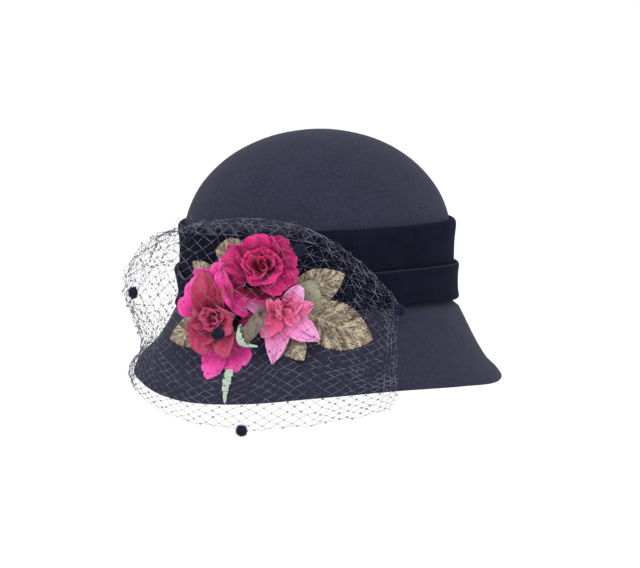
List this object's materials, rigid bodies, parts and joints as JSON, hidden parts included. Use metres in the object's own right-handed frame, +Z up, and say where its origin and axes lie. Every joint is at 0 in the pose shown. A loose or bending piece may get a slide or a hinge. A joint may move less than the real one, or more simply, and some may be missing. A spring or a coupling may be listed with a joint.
{
  "type": "felt cloche hat with flower spray and veil",
  "caption": "Bell-shaped wool-felt cloche hat with a folded velvet band, a side spray of cloth roses and leaves, and a dotted net veil hanging over the front brim.",
  "frame": {"origin": "centre of the oval head opening, at the level where the crown meets the brim", "axes": "+Z up through the crown, -Y out of the wearer's face, +X out of the wearer's left ear, where the flowers are"},
  "size_m": [0.2419, 0.2774, 0.1962],
  "materials": {
    "felt": "brushed wool felt",
    "velvet": "cotton velvet",
    "crimson_cloth": "dyed cotton petals",
    "coral_cloth": "dyed cotton petals",
    "pink_cloth": "dyed satin petals",
    "olive_cloth": "rolled cloth",
    "mint_cloth": "cut cloth",
    "gold_leaf": "panne velvet with a metallic print",
    "sage_leaf": "satin",
    "net": "knotted veiling thread",
    "chenille": "chenille pile"
  },
  "bodies": {
    "root": {"felt_body": "felt", "velvet_band": "velvet", "rose_upper": "crimson_cloth", "rose_lower": "coral_cloth", "blossom": "pink_cloth", "bud": "olive_cloth", "bud_sepal": "mint_cloth", "leaf_right": "gold_leaf", "leaf_right_upper": "gold_leaf", "leaf_sage": "sage_leaf", "leaf_bottom": "gold_leaf", "leaf_upper": "gold_leaf", "leaf_left": "gold_leaf", "leaf_low": "gold_leaf", "sprig": "mint_cloth", "veil": "net", "dot_front": "chenille", "dot_hem": "chenille", "dot_rose": "chenille", "dot_band": "chenille", "dot_ear": "chenille"}
  },
  "joints": []
}
